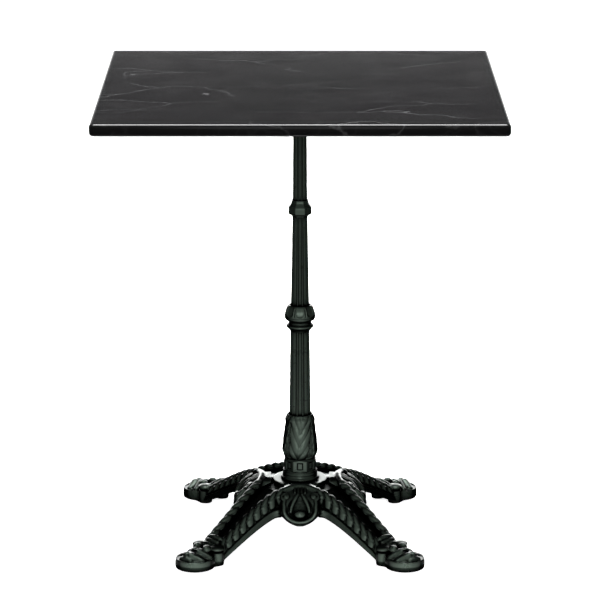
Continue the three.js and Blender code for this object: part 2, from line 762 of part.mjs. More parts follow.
const table = new THREE.Group();
table.add(tableTop());
QUARTER_NAMES.forEach((name, index) => {
  const degrees = QUARTER_TURNS[index];
  table.add(topInsert(name, degrees), spiderScrew(name, degrees), spiderWasher(name, degrees));
});
table.add(topSpider(), upperShaft(), neckRing(), middleShaft(), knop(), lowerShaft());
table.add(leafSocket(), footCollar(), baseCasting());
table.add(
  tieRod(),
  tieNut('upper_tie_nut', TOP_NUT_BOTTOM),
  tieWasher('upper_tie_washer', CUP_FLOOR + GAP, 11),
  tieNut('lower_tie_nut', LOWER_NUT_TOP - TIE_NUT_HEIGHT),
  tieWasher('lower_tie_washer', LOWER_WASHER_BOTTOM, 18),
);
CORNERS.forEach(([x, y], index) => {
  const name = QUARTER_NAMES[index];
  table.add(glideStem(name, x, y), glidePad(name, x, y));
});

export default table;
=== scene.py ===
"""Looks of the bistro table: a black marble top, a fluted cast-iron column and an ornamented base.

Lengths inside the shape functions are millimetres in the frame's axes: the origin is on the floor
under the column, +Z is up and the front faces -Y. They become metres when a mesh is made.
"""

import math

import bmesh
import bpy
import numpy as np
import openvdb
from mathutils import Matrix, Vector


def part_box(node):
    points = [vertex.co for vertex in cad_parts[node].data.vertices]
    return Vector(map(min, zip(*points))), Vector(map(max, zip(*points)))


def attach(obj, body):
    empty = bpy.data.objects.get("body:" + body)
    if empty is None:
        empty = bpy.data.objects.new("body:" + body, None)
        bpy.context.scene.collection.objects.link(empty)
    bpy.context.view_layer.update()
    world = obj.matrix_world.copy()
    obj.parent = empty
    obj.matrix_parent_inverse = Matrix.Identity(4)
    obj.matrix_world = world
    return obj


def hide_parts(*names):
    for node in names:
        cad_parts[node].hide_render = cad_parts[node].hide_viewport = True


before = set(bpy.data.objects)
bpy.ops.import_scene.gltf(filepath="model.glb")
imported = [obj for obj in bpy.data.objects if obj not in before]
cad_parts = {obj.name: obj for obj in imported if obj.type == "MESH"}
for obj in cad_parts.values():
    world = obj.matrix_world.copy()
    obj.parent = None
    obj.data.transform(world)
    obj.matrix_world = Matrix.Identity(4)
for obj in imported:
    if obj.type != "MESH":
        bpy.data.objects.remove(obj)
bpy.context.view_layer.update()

MM = 0.001
FULL_TURN = 2 * math.pi
FRONT = -math.pi / 2  # direction of -Y as an angle round the column


def low(node):
    """Lowest corner of a CAD node, in millimetres."""
    return [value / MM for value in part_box(node)[0]]


def high(node):
    """Highest corner of a CAD node, in millimetres."""
    return [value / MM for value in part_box(node)[1]]


# ---- Dimensions taken from the frame -----------------------------------------------------

HALF_TOP = high("table_top")[0]
TOP_BOTTOM = low("table_top")[2]
TOP_HEIGHT = high("table_top")[2]
SHAFT_GAP = 0.3  # clearance between stacked castings
SPIGOT_LENGTH = 5
SPIGOT_RADIUS = 8.2
REGISTER_RADIUS = 14
ROD_BORE = 5.6

FOOT_RADIUS = 30
FOOT_X = high("base_casting")[0] - FOOT_RADIUS
FOOT_Y = high("base_casting")[1] - FOOT_RADIUS
FOOT_REACH = math.hypot(FOOT_X, FOOT_Y)
BASE_BOTTOM = low("base_casting")[2]
SOCKET_BOTTOM = low("leaf_socket")[2] + SPIGOT_LENGTH
SOCKET_TOP = high("leaf_socket")[2]
COLLAR_BOTTOM = low("foot_collar")[2] + SPIGOT_LENGTH
COLLAR_TOP = high("foot_collar")[2]
DISC_TOP = COLLAR_BOTTOM - SHAFT_GAP
KNOP_BOTTOM = low("knop")[2]
KNOP_TOP = high("knop")[2]
RING_BOTTOM = low("neck_ring")[2]
RING_TOP = high("neck_ring")[2]

FLUTES = 12
FLUTE_DEPTH = 0.17  # share of the shaft's radius
FLUTE_WIDTH = 0.84  # share of each flute's pitch that is hollowed out

# The base's legs and aprons.
HUB_RADIUS = 60
HUB_FLOOR = DISC_TOP - 8
HUB_PLATE = 6
BASE_BOSS_RADIUS = 24
DISC_RADIUS = 42
ARCH_RADIUS = 58  # nearest approach of each apron's bead to the column's axis
BEAD_RADIUS = 5.5
BEAD_OFFSET = 8  # from a leg's centre line to each of its two beads
RIM_TOP = 104
SHOULDER = 80
SHOULDER_EASE = 50
LEG_FALL = 0.6
LEG_END = FOOT_REACH - 20
APRON_HEIGHT = 41
APRON_TAPER = 0.147
APRON_TAPER_START = 45
CHANNEL_DEPTH = 14
CHANNEL_PLATE = 6
CHANNEL_LAP = 2  # of the channel's plate into each bead
CHANNEL_SPREAD = 1250  # widens the channel towards the hub, as an area over the distance out
LOBE_PITCH = 15  # of the rope's lobes and of the gadroons below them
PENDANT_REACH = 98.5  # of each pendant's tip, out from the column's axis
PENDANT_TIP = 39
PENDANT_TOP = 92
PENDANT_PLATE = 10
GLIDE_POCKET_RADIUS = 17
GLIDE_POCKET_TOP = 12
GLIDE_BORE_RADIUS = 4.3
GLIDE_BORE_TOP = 28

CASTING_STEP = 1.0  # spacing of the samples that the base is shaped on


# ---- Mesh tools --------------------------------------------------------------------------


def set_faces(mesh, faces):
    """Gives a mesh its faces, which all have the same number of corners."""
    count, corners = faces.shape
    mesh.loops.add(count * corners)
    mesh.polygons.add(count)
    mesh.loops.foreach_set("vertex_index", faces.astype(np.int32).ravel())
    mesh.polygons.foreach_set("loop_start", np.arange(0, count * corners, corners, dtype=np.int32))


def make_piece(name, points, faces, material, nodes, crease=35):
    """A shown piece of the table, from points in millimetres, which stands for some CAD nodes."""
    mesh = bpy.data.meshes.new(name)
    mesh.vertices.add(len(points))
    mesh.vertices.foreach_set("co", (np.asarray(points, np.float32) * MM).ravel())
    set_faces(mesh, np.asarray(faces))
    mesh.update(calc_edges=True)
    mesh.validate()
    mesh.polygons.foreach_set("use_smooth", np.ones(len(mesh.polygons), bool))
    mesh.set_sharp_from_angle(angle=math.radians(crease))
    mesh.materials.append(material)
    piece = bpy.data.objects.new(name, mesh)
    bpy.context.scene.collection.objects.link(piece)
    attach(piece, "table")
    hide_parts(*nodes)
    return piece


def ring_faces(rows, columns):
    """Faces of a grid of points that closes on itself both ways."""
    row = np.arange(rows)[:, None]
    column = np.arange(columns)[None, :]
    next_row = (row + 1) % rows
    next_column = (column + 1) % columns
    corners = (
        row * columns + column,
        row * columns + next_column,
        next_row * columns + next_column,
        next_row * columns + column,
    )
    return np.stack([np.broadcast_to(c, (rows, columns)).ravel() for c in corners], axis=1)


def softened(outline, steps=4):
    """Rounds a closed outline's corners. Each corner is (radius, height, size of its rounding)."""
    points = []
    count = len(outline)
    for i, (radius, height, rounding) in enumerate(outline):
        here = np.array([radius, height], float)
        if rounding == 0:
            points.append(here)
            continue
        ends = []
        for neighbour in (outline[i - 1], outline[(i + 1) % count]):
            away = np.array(neighbour[:2], float) - here
            length = np.linalg.norm(away)
            ends.append(here + away * min(rounding, length * 0.45) / length)
        for share in np.linspace(0, 1, steps + 1):
            points.append(
                (1 - share) ** 2 * ends[0] + 2 * share * (1 - share) * here + share**2 * ends[1]
            )
    return np.array(points)


def divided(points, longest):
    """Adds points to a closed outline until no stretch is longer than `longest`."""
    result = []
    for here, after in zip(points, np.roll(points, -1, axis=0)):
        parts = max(1, math.ceil(np.linalg.norm(after - here) / longest))
        result.extend(here + (after - here) * part / parts for part in range(parts))
    return np.array(result)


def no_relief(radius, height, angle):
    """Leaves a turned surface as it is."""
    return radius + 0 * angle


def turned_piece(name, outline, material, relief=no_relief, sides=192, longest=4.0, nodes=None):
    """A casting turned round the column's axis. `relief` moves its surface out or in."""
    loop = divided(softened(outline), longest)
    angle = FRONT + FULL_TURN * np.arange(sides)[None, :] / sides
    radius = loop[:, 0][:, None]
    height = loop[:, 1][:, None]
    shaped = relief(radius, height, angle)
    points = np.stack(
        [shaped * np.cos(angle), shaped * np.sin(angle), height + 0 * angle], axis=-1
    ).reshape(-1, 3)
    return make_piece(name, points, ring_faces(len(loop), sides), material, nodes or [name])


def ease(value, start, end):
    """0 before start, 1 after end, and smooth between them."""
    share = np.clip((value - start) / (end - start), 0, 1)
    return share * share * (3 - 2 * share)


# ---- Materials ---------------------------------------------------------------------------


def set_inputs(tree, shader, inputs):
    """Sets a node's inputs by name, from plain values or from other nodes' outputs."""
    for name, value in inputs.items():
        socket = shader.inputs[name]
        if isinstance(value, bpy.types.NodeSocket):
            tree.links.new(value, socket)
        else:
            socket.default_value = value


def add_node(tree, kind, settings=None, **inputs):
    """Adds a node. Settings are its properties, and inputs are named with _ for a space."""
    made = tree.nodes.new(kind)
    for name, value in (settings or {}).items():
        setattr(made, name, value)
    set_inputs(tree, made, {name.replace("_", " "): value for name, value in inputs.items()})
    return made


def new_material(name):
    """A node material, named like the record's slot that it finishes."""
    material = bpy.data.materials.new(name)
    material["slot"] = name
    material.use_nodes = True
    tree = material.node_tree
    place = add_node(tree, "ShaderNodeTexCoord").outputs["Object"]
    return material, tree, place, tree.nodes["Principled BSDF"]


def noise(tree, place, scale, detail=4.0):
    """Cloudy values round 0.5. A larger scale makes finer clouds."""
    made = add_node(
        tree, "ShaderNodeTexNoise", Vector=place, Scale=scale, Detail=detail, Roughness=0.55
    )
    return made.outputs["Fac"]


def ramp(tree, value, stops):
    """Turns a value into a colour. Stops are (position, grey or colour)."""
    made = add_node(tree, "ShaderNodeValToRGB", Fac=value)
    elements = made.color_ramp.elements
    while len(elements) < len(stops):
        elements.new(0.5)
    for element, (position, colour) in zip(elements, stops):
        element.position = position
        element.color = (*colour, 1) if isinstance(colour, tuple) else (colour, colour, colour, 1)
    return made.outputs["Color"]


def stretched(tree, value, lowest, highest):
    """Maps noise's middle range on to lowest..highest."""
    made = add_node(tree, "ShaderNodeMapRange", Value=value)
    set_inputs(tree, made, {"From Min": 0.3, "From Max": 0.7, "To Min": lowest, "To Max": highest})
    return made.outputs["Result"]


def mixed(tree, share, first, second):
    """A mix of two colours: the first where the share is 0 and the second where it is 1."""
    made = tree.nodes.new("ShaderNodeMix")
    made.data_type = "RGBA"
    for socket, value in ((made.inputs[0], share), (made.inputs[6], first), (made.inputs[7], second)):
        if isinstance(value, bpy.types.NodeSocket):
            tree.links.new(value, socket)
        else:
            socket.default_value = value
    return made.outputs[2]


def bumped(tree, height, distance, strength=1.0, normal=None):
    """A normal with fine relief, laid over another normal if there is one."""
    made = add_node(tree, "ShaderNodeBump", Height=height, Distance=distance, Strength=strength)
    if normal is not None:
        tree.links.new(normal, made.inputs["Normal"])
    return made.outputs["Normal"]


def arithmetic(tree, operation, first, second):
    """One step of arithmetic on node values or plain numbers."""
    made = add_node(tree, "ShaderNodeMath", {"operation": operation})
    for socket, value in zip(made.inputs, (first, second)):
        if isinstance(value, bpy.types.NodeSocket):
            tree.links.new(value, socket)
        else:
            socket.default_value = value
    return made.outputs[0]


def painted_iron():
    """Black satin paint on sand-cast iron: faintly green, grainy and worn at the edges.

    Shade is painted into its colour: it goes black in hollows and where it turns away from the viewer.
    It shines most on flat tops.
    """
    material, tree, place, shader = new_material("painted_cast_iron")
    patches = noise(tree, place, 45)
    grain = noise(tree, place, 900, detail=3)
    sand = noise(tree, place, 260, detail=5)
    paint = ramp(tree, patches, [(0.3, (0.027, 0.036, 0.029)), (0.7, (0.034, 0.045, 0.036))])
    geometry = add_node(tree, "ShaderNodeNewGeometry")
    worn = ramp(tree, geometry.outputs["Pointiness"], [(0.53, 0.0), (0.64, 0.25)])
    colour = mixed(tree, worn, paint, (0.13, 0.15, 0.135, 1))
    normal = bumped(tree, sand, 0.00025, 0.14)
    normal = bumped(tree, grain, 0.00008, 0.12, normal)
    # Painted shade: ambient occlusion makes the paint go black in hollows and creases, and cuts its
    # shine there too.
    hollows = add_node(tree, "ShaderNodeAmbientOcclusion", {"samples": 12}, Distance=0.012)
    unshaded_share = ramp(tree, hollows.outputs["AO"], [(0.62, 0.0), (0.97, 1.0)])
    # Painted shade: the paint's colour darkens to black where the surface turns away from the viewer.
    facing = add_node(tree, "ShaderNodeLayerWeight", Blend=0.5, Normal=normal).outputs["Facing"]
    depth = ramp(tree, facing, [(0.0, 1.0), (0.12, 0.6), (0.4, 0.02)])
    upward = add_node(tree, "ShaderNodeSeparateXYZ", Vector=geometry.outputs["Normal"]).outputs["Z"]
    flatness = ramp(tree, upward, [(0.5, 0.0), (0.97, 1.0)])
    shine = arithmetic(tree, "MAXIMUM", flatness, arithmetic(tree, "MULTIPLY", depth, 0.35))
    # Both painted shades together, mixed into the paint's colour as a share of black.
    painted_light_share = arithmetic(tree, "MULTIPLY", unshaded_share, depth)
    set_inputs(tree, shader, {
        "Base Color": mixed(tree, painted_light_share, (0, 0, 0, 1), colour),
        "Roughness": stretched(tree, patches, 0.26, 0.33),
        "Specular IOR Level": arithmetic(tree, "MULTIPLY", unshaded_share, shine),
        "Specular Tint": (0.8, 1.0, 0.85, 1.0),
        "Normal": normal,
    })
    return material


def black_marble():
    """Polished black marble with faint pale veins that run on a slant."""
    material, tree, place, shader = new_material("black_marble")
    slanted = add_node(tree, "ShaderNodeMapping", Vector=place)
    slanted.inputs["Rotation"].default_value = (0, 0, math.radians(-38))
    slanted.inputs["Scale"].default_value = (1.0, 2.6, 1.0)
    wobble = add_node(tree, "ShaderNodeTexNoise", Vector=place, Scale=5.0, Detail=6.0)
    bent = add_node(tree, "ShaderNodeVectorMath", {"operation": "MULTIPLY_ADD"})
    tree.links.new(wobble.outputs["Color"], bent.inputs[0])
    bent.inputs[1].default_value = (0.35, 0.35, 0.35)
    tree.links.new(slanted.outputs["Vector"], bent.inputs[2])

    def veins(scale, width):
        """Thin lines along the borders of bent cells."""
        borders = {"feature": "DISTANCE_TO_EDGE"}
        cells = add_node(tree, "ShaderNodeTexVoronoi", borders, Vector=bent.outputs[0], Scale=scale)
        return ramp(tree, cells.outputs["Distance"], [(0.0, 1.0), (width, 0.0)])

    patches = ramp(tree, noise(tree, place, 4.5, detail=2), [(0.46, 0.0), (0.62, 1.0)])
    strong = arithmetic(tree, "MULTIPLY", veins(4.0, 0.013), patches)
    faint = arithmetic(tree, "MULTIPLY", veins(9.0, 0.03), 0.12)
    share = arithmetic(tree, "MULTIPLY", arithmetic(tree, "MAXIMUM", strong, faint), 0.4)
    clouds = noise(tree, place, 14, detail=7)
    ground = ramp(tree, clouds, [(0.3, (0.0037, 0.0037, 0.0038)), (0.75, (0.0041, 0.0041, 0.0042))])
    colour = mixed(tree, share, ground, (0.05, 0.05, 0.051, 1))
    facing = add_node(tree, "ShaderNodeLayerWeight", Blend=0.5).outputs["Facing"]
    edge_sheen = ramp(tree, facing, [(0.05, 0.03), (0.25, 0.04), (0.46, 0.35), (0.62, 0.001)])
    set_inputs(tree, shader, {
        "Base Color": colour,
        "Roughness": stretched(tree, clouds, 0.12, 0.15),
        "Specular IOR Level": edge_sheen,
    })
    return material


def zinc_steel():
    """Bright zinc plate over turned steel."""
    material, tree, place, shader = new_material("zinc_steel")
    spangle = noise(tree, place, 320, detail=3)
    turning = add_node(tree, "ShaderNodeTexWave", {"bands_direction": "Z"}, Vector=place, Scale=520.0)
    set_inputs(tree, shader, {
        "Base Color": ramp(tree, spangle, [(0.3, (0.42, 0.43, 0.45)), (0.7, (0.62, 0.63, 0.64))]),
        "Metallic": 1.0,
        "Roughness": stretched(tree, spangle, 0.24, 0.42),
        "Normal": bumped(tree, turning.outputs["Fac"], 0.00008, 0.4),
    })
    return material


def brass():
    """Turned brass, a little dull."""
    material, tree, place, shader = new_material("brass")
    dulling = noise(tree, place, 240, detail=4)
    set_inputs(tree, shader, {
        "Base Color": ramp(tree, dulling, [(0.3, (0.42, 0.26, 0.08)), (0.7, (0.62, 0.42, 0.16))]),
        "Metallic": 1.0,
        "Roughness": stretched(tree, dulling, 0.28, 0.5),
        "Normal": bumped(tree, dulling, 0.00005, 0.3),
    })
    return material


def nylon():
    """Black moulded nylon with a fine matt grain."""
    material, tree, place, shader = new_material("glide_nylon")
    grain = noise(tree, place, 1400, detail=2)
    set_inputs(tree, shader, {
        "Base Color": ramp(tree, grain, [(0.3, (0.012, 0.012, 0.013)), (0.7, (0.022, 0.022, 0.023))]),
        "Roughness": stretched(tree, grain, 0.5, 0.68),
        "Normal": bumped(tree, grain, 0.00006, 0.35),
    })
    return material


IRON = painted_iron()
MARBLE = black_marble()
STEEL = zinc_steel()
BRASS = brass()
NYLON = nylon()


# ---- Table top ---------------------------------------------------------------------------


def square_ring(inset, corner, steps=10):
    """Points round a square with rounded corners, `inset` in from the table top's edge."""
    half = HALF_TOP - inset
    radius = max(corner - inset, 0.5)
    points = []
    for quarter in range(4):
        middle = math.pi / 4 + quarter * math.pi / 2
        centre = (half - radius) * math.sqrt(2)
        for angle in np.linspace(middle - math.pi / 4, middle + math.pi / 4, steps):
            points.append([
                centre * math.cos(middle) + radius * math.cos(angle),
                centre * math.sin(middle) + radius * math.sin(angle),
            ])
    return np.array(points)


def table_top():
    """The marble slab, with its edges rounded over above and below."""
    edge = 5.0
    corner = 8.0
    rings = [(edge + 3, TOP_BOTTOM)]
    for angle in np.linspace(-math.pi / 2, 0, 9):
        rings.append((edge - edge * math.cos(angle), TOP_BOTTOM + edge + edge * math.sin(angle)))
    for angle in np.linspace(0, math.pi / 2, 9):
        rings.append((edge - edge * math.cos(angle), TOP_HEIGHT - edge + edge * math.sin(angle)))
    rings.append((edge + 3, TOP_HEIGHT))
    points = []
    for inset, height in rings:
        ring = square_ring(inset, corner)
        points.append(np.column_stack([ring, np.full(len(ring), height)]))
    count = len(points[0])
    points = np.concatenate(points)
    faces = ring_faces(len(rings), count)[: (len(rings) - 1) * count]
    piece = make_piece("marble_slab", points, faces, MARBLE, ["table_top"])
    mesh = piece.data
    shaper = bmesh.new()
    shaper.from_mesh(mesh)
    shaper.verts.ensure_lookup_table()
    last = len(points)
    shaper.faces.new([shaper.verts[i] for i in range(count)][::-1])
    shaper.faces.new([shaper.verts[i] for i in range(last - count, last)])
    for face in shaper.faces:
        face.smooth = True
    shaper.to_mesh(mesh)
    shaper.free()
    return piece


# ---- Column ------------------------------------------------------------------------------


def fluted(radius, height, angle):
    """Hollow flutes with narrow flats between them. One flute faces the front."""
    across = ((angle - FRONT) * FLUTES / FULL_TURN + 0.5) % 1.0 * 2 - 1
    hollow = np.sqrt(np.clip(1 - (across / FLUTE_WIDTH) ** 2, 0, 1))
    outside = ease(radius, SPIGOT_RADIUS + 0.6, SPIGOT_RADIUS + 1.6)
    return radius * (1 - FLUTE_DEPTH * hollow * outside)


def shaft(node, bottom_radius, top_radius, bottom_spigot, top_spigot):
    """One fluted length of the column with its turned spigots."""
    bottom = low(node)[2] + (SPIGOT_LENGTH if bottom_spigot else 0)
    top = high(node)[2] - (SPIGOT_LENGTH if top_spigot else 0)
    outline = []
    if bottom_spigot:
        outline += [(ROD_BORE, bottom - SPIGOT_LENGTH, 0), (SPIGOT_RADIUS, bottom - SPIGOT_LENGTH, 0.6)]
        outline += [(SPIGOT_RADIUS, bottom, 0)]
    else:
        outline += [(ROD_BORE, bottom, 0)]
    outline += [(bottom_radius, bottom, 0.5), (top_radius, top, 0.5)]
    if top_spigot:
        outline += [(SPIGOT_RADIUS, top, 0), (SPIGOT_RADIUS, top + SPIGOT_LENGTH, 0.6)]
        outline += [(ROD_BORE, top + SPIGOT_LENGTH, 0)]
    else:
        outline += [(ROD_BORE, top, 0)]
    return turned_piece(f"{node}_flutes", outline, IRON, fluted, sides=FLUTES * 20, nodes=[node])


def octagonal(angle):
    """How much further out than the middle of a flat an octagon's edge is, with soft corners."""
    across = (angle - FRONT + math.pi / 8) % (math.pi / 4) - math.pi / 8
    return np.minimum(1 / np.cos(across), 1.072 - 0.1 * (math.pi / 8 - np.abs(across)))


def neck_ring():
    """The octagonal ring between the upper and middle shafts."""
    flats = 17.5
    flat_bottom = RING_BOTTOM + 5.4
    flat_top = RING_BOTTOM + 14.8

    def relief(radius, height, angle):
        octagon = ease(radius, 10, 12)
        return radius * (1 + octagon * (octagonal(angle) - 1))

    recess = SPIGOT_RADIUS + SHAFT_GAP
    depth = SPIGOT_LENGTH + SHAFT_GAP
    outline = [
        (recess, RING_BOTTOM, 0.4),
        (12.2, RING_BOTTOM, 0.6),
        (12.2, RING_BOTTOM + 1.8, 0.6),
        (flats - 1.2, flat_bottom - 1.6, 0.8),
        (flats, flat_bottom, 0.8),
        (flats, flat_top, 1.0),
        (flats - 1.2, flat_top + 1.4, 0.8),
        (12.6, RING_TOP - 3.6, 1.0),
        (12.6, RING_TOP, 0.6),
        (recess, RING_TOP, 0.4),
        (recess, RING_TOP - depth, 0),
        (ROD_BORE, RING_TOP - depth, 0),
        (ROD_BORE, RING_BOTTOM + depth, 0),
        (recess, RING_BOTTOM + depth, 0),
    ]
    return turned_piece("octagonal_ring", outline, IRON, relief, longest=2.0, nodes=["neck_ring"])


def petals(radius, height, angle):
    """Eight hollowed petals round the knop's upper half, open at the top."""
    across = ((angle - FRONT) * 8 / FULL_TURN + 0.5) % 1.0 * 2 - 1
    up = (height - KNOP_BOTTOM - 31.5) / 6.5
    outside = ease(radius, 16.2, 17.2)
    hollow = np.clip(1 - (across / 0.8) ** 2 - np.minimum(up, 0) ** 2, 0, 1)
    seam = np.exp(-((np.minimum(1 - np.abs(across), 0.5) / 0.07) ** 2)) * ease(1 - np.abs(up), 0, 0.2)
    return radius - outside * (2.0 * np.sqrt(hollow) + 0.8 * seam)


def knop():
    """The round knop, with petals over a seam at its widest line and a sharp lip under its neck."""
    recess = SPIGOT_RADIUS + SHAFT_GAP
    depth = SPIGOT_LENGTH + SHAFT_GAP
    cup_floor = KNOP_TOP - 2.5
    seam = KNOP_BOTTOM + 22.6
    outline = [
        (recess, KNOP_BOTTOM, 0.4),
        (15.4, KNOP_BOTTOM, 0.5),
        (16.6, KNOP_BOTTOM + 2.2, 1.5),
        (20.9, KNOP_BOTTOM + 6.6, 0.8),
        (21.3, KNOP_BOTTOM + 7.8, 0.6),
        (20.9, KNOP_BOTTOM + 9.2, 0.8),
        (17.4, KNOP_BOTTOM + 11.6, 1.8),
        (17.3, KNOP_BOTTOM + 14.8, 1.2),
        (19.6, KNOP_BOTTOM + 16.4, 1.2),
        (22.6, KNOP_BOTTOM + 18.4, 1.6),
        (24.0, seam - 0.9, 0.8),
        (23.3, seam, 0.4),
        (24.0, seam + 0.9, 0.8),
        (23.9, KNOP_BOTTOM + 27.5, 3.0),
        (22.6, KNOP_BOTTOM + 33.0, 3.0),
        (19.6, KNOP_TOP - 1.6, 1.8),
        (18.0, KNOP_TOP, 0.8),
        (15.3, KNOP_TOP, 0.5),
        (15.3, cup_floor, 0),
        (recess, cup_floor, 0),
        (recess, cup_floor - depth, 0),
        (ROD_BORE, cup_floor - depth, 0),
        (ROD_BORE, KNOP_BOTTOM + depth, 0),
        (recess, KNOP_BOTTOM + depth, 0),
    ]
    return turned_piece("turned_knop", outline, IRON, petals, longest=0.8, nodes=["knop"])


def leaves(radius, height, angle):
    """Four broad acanthus leaves: veins fan up from each leaf's foot, and the edges lap and curl."""
    share = np.clip((height - SOCKET_BOTTOM) / (SOCKET_TOP - SOCKET_BOTTOM), 0, 1)
    outside = ease(radius, 17.6, 18.6)
    turn = (angle - FRONT - 0.3 * (share - 0.5)) * 4 / FULL_TURN
    across = (turn + 0.5) % 1.0 * 2 - 1
    veins = np.abs(np.sin(math.pi * (3.4 * share - 1.7 * np.abs(across))))
    rib = np.exp(-((across / 0.05) ** 2))
    edge = 0.62 + 0.42 * np.minimum(share, 0.85) + 0.07 * np.abs(np.sin(math.pi * 6 * share))
    blade = ease(edge - np.abs(across), -0.02, 0.06)
    under = np.abs(np.sin(math.pi * 7 * across + 4 * share)) * (1 - blade)
    body = 2.4 * blade * (0.6 + 0.4 * veins) + 0.6 * rib * (1 - share) + 0.7 * under
    ends = ease(share, 0.0, 0.05) * (1 - ease(share, 0.985, 1.0))
    curl = 0.8 * np.exp(-(((share - 0.9) / 0.06) ** 2)) * (0.4 + 0.6 * np.cos(math.pi * across) ** 2)
    return radius + outside * ends * (body + curl - 1.8)


def leaf_socket():
    """The vase wrapped in leaves that the lower shaft stands in."""
    bottom = SOCKET_BOTTOM
    cup = 8
    recess = SPIGOT_RADIUS + SHAFT_GAP
    cup_floor = SOCKET_TOP - cup
    outline = [
        (REGISTER_RADIUS, bottom - SPIGOT_LENGTH, 0.5),
        (REGISTER_RADIUS, bottom, 0),
        (23.2, bottom, 0.8),
        (25.2, bottom + 4, 2),
        (26.9, bottom + 10, 3),
        (27.0, bottom + 17, 4),
        (25.6, bottom + 29, 5),
        (24.2, bottom + 42, 5),
        (23.3, bottom + 49.5, 2.0),
        (22.4, bottom + 52, 2.0),
        (22.4, bottom + 61, 1.6),
        (20.2, bottom + 66.5, 1.4),
        (19.6, SOCKET_TOP, 1.0),
        (18.0, SOCKET_TOP, 0.6),
        (18.0, cup_floor, 0),
        (recess, cup_floor, 0),
        (recess, cup_floor - SPIGOT_LENGTH - SHAFT_GAP, 0),
        (ROD_BORE, cup_floor - SPIGOT_LENGTH - SHAFT_GAP, 0),
        (ROD_BORE, bottom - SPIGOT_LENGTH, 0),
    ]
    return turned_piece(
        "acanthus_socket", outline, IRON, leaves, sides=360, longest=0.6, nodes=["leaf_socket"]
    )


def panels(radius, height, angle):
    """Eight flats on the collar's drum, each with a grooved oblong."""
    drum_bottom = COLLAR_BOTTOM + 15.5
    drum_top = COLLAR_TOP - 1.5
    drum = ease(height, drum_bottom, drum_bottom + 0.6) * (1 - ease(height, drum_top - 0.6, drum_top))
    drum = drum * ease(radius, REGISTER_RADIUS + 2, REGISTER_RADIUS + 4)
    across = (angle - FRONT + math.pi / 8) % (math.pi / 4) - math.pi / 8
    sideways = np.abs(radius * np.tan(across))
    upward = np.abs(height - (drum_bottom + drum_top) / 2)
    inset = np.maximum(sideways - 4.0, upward - 5.0)
    groove = np.exp(-((inset / 0.6) ** 2))
    raised = ease(-inset, 0.2, 1.2)
    return radius * (1 + drum * (octagonal(angle) - 1)) - drum * (1.1 * groove - 0.5 * raised)


def foot_collar():
    """The eight-sided drum on its round, moulded foot."""
    bottom = COLLAR_BOTTOM
    outline = [
        (REGISTER_RADIUS, bottom - SPIGOT_LENGTH, 0.5),
        (REGISTER_RADIUS, bottom, 0),
        (28.6, bottom, 0.5),
        (29.3, bottom + 1.6, 0.9),
        (29.0, bottom + 3.4, 0.9),
        (27.0, bottom + 5.2, 1.2),
        (26.2, bottom + 8.0, 0.9),
        (27.0, bottom + 9.4, 0.7),
        (26.2, bottom + 10.8, 0.7),
        (25.4, bottom + 12.4, 0.7),
        (26.2, bottom + 13.6, 0.6),
        (25.2, bottom + 14.8, 0.5),
        (24.6, bottom + 15.4, 0.3),
        (24.6, COLLAR_TOP - 1.6, 0.5),
        (23.6, COLLAR_TOP, 0.7),
        (REGISTER_RADIUS + SHAFT_GAP, COLLAR_TOP, 0.4),
        (REGISTER_RADIUS + SHAFT_GAP, COLLAR_TOP - SPIGOT_LENGTH - SHAFT_GAP, 0),
        (ROD_BORE, COLLAR_TOP - SPIGOT_LENGTH - SHAFT_GAP, 0),
        (ROD_BORE, bottom - SPIGOT_LENGTH, 0),
    ]
    return turned_piece(
        "panelled_collar", outline, IRON, panels, sides=400, longest=0.5, nodes=["foot_collar"]
    )


# ---- Base casting ------------------------------------------------------------------------
#
# The base is the same on all four sides of its two middle planes, so one quarter of it is shaped
# and mirrored. Its shape is a block of samples, each holding the distance to the surface: below
# zero inside the iron and above zero outside.


def fuse(first, second, fillet=1.0):
    """Joins two shapes, with a fillet where they meet."""
    blend = np.maximum(fillet - np.abs(first - second), 0) / fillet
    return np.minimum(first, second) - blend * blend * fillet / 4


def carve(body, tool, fillet=0.6):
    """Takes the tool's shape away from the body."""
    return -fuse(-body, tool, fillet)


def overlap(*shapes):
    """The space that all the shapes share."""
    return np.maximum.reduce(np.broadcast_arrays(*shapes))


def egg(place, centre, sizes):
    """An ellipsoid, by its three half sizes."""
    scaled = np.sqrt(
        sum(((axis - middle) / size) ** 2 for axis, middle, size in zip(place, centre, sizes))
    )
    return (scaled - 1) * min(sizes)


def finger(place, start, end, start_radius, end_radius):
    """A round-ended bar between two points, which may taper."""
    start = np.array(start, float)
    run = np.array(end, float) - start
    offsets = [axis - origin for axis, origin in zip(place, start)]
    share = sum(offset * part for offset, part in zip(offsets, run)) / (run @ run)
    share = np.clip(share, 0, 1)
    apart = np.sqrt(sum((offset - share * part) ** 2 for offset, part in zip(offsets, run)))
    return apart - (start_radius + (end_radius - start_radius) * share)


def cord(place, points, radius):
    """A round cord laid along a run of points."""
    distance = None
    for start, end in zip(points[:-1], points[1:]):
        part = finger(place, start, end, radius, radius)
        distance = part if distance is None else np.minimum(distance, part)
    return distance


